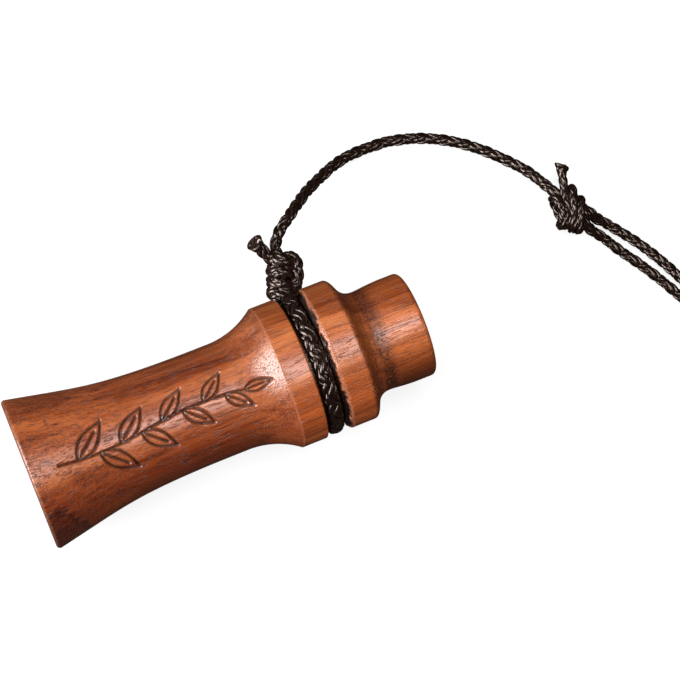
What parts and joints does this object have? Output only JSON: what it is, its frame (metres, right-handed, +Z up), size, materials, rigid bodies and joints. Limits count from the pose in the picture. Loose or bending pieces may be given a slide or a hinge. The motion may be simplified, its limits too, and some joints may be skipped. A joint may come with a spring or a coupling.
{
  "type": "fox call",
  "caption": "Turned walnut fox call: flared bell, push-in mouthpiece with a brass reed voice, and a cord groove holding a noosed braided lanyard whose neck loop is coiled.",
  "frame": {"origin": "on the surface that the call lies on, under the middle of the call's length and under its axis", "axes": "+X along the call's axis from the bell to the mouthpiece, +Y to the side where the lanyard leaves its groove, +Z up"},
  "size_m": [0.1711, 0.0718, 0.0285],
  "materials": {
    "walnut": "oiled satin",
    "cork": "matt cork",
    "acetal": "machined",
    "brass": "rolled",
    "rubber": "matt",
    "cord": "braided",
    "tie": "woven tape"
  },
  "bodies": {
    "call": {"barrel": "walnut", "voice_bush": "cork", "tone_board": "acetal", "reed_wedge": "acetal", "noose": "cord", "cord_line": "cord", "loop_knot": "cord", "neck_loop_lead_out": "cord", "neck_loop_lead_back": "cord", "neck_loop_coil": "cord", "coil_tie": "tie"},
    "mouthpiece": {"mouthpiece": "walnut", "tenon_ring_outer": "rubber", "tenon_ring_inner": "rubber"},
    "reed": {"reed": "brass"}
  },
  "joints": [
    {"name": "mouthpiece_pull", "type": "slide", "parent": "call", "child": "mouthpiece", "axis": [1, 0, 0], "range_m": [0, 0.022]},
    {"name": "reed_flex", "type": "hinge", "parent": "call", "child": "reed", "pos_m": [0.00549, 0, 0.01425], "axis": [0, 1, 0], "range_deg": [-3, 3], "stiffness_Nm_per_rad": 0.01}
  ]
}
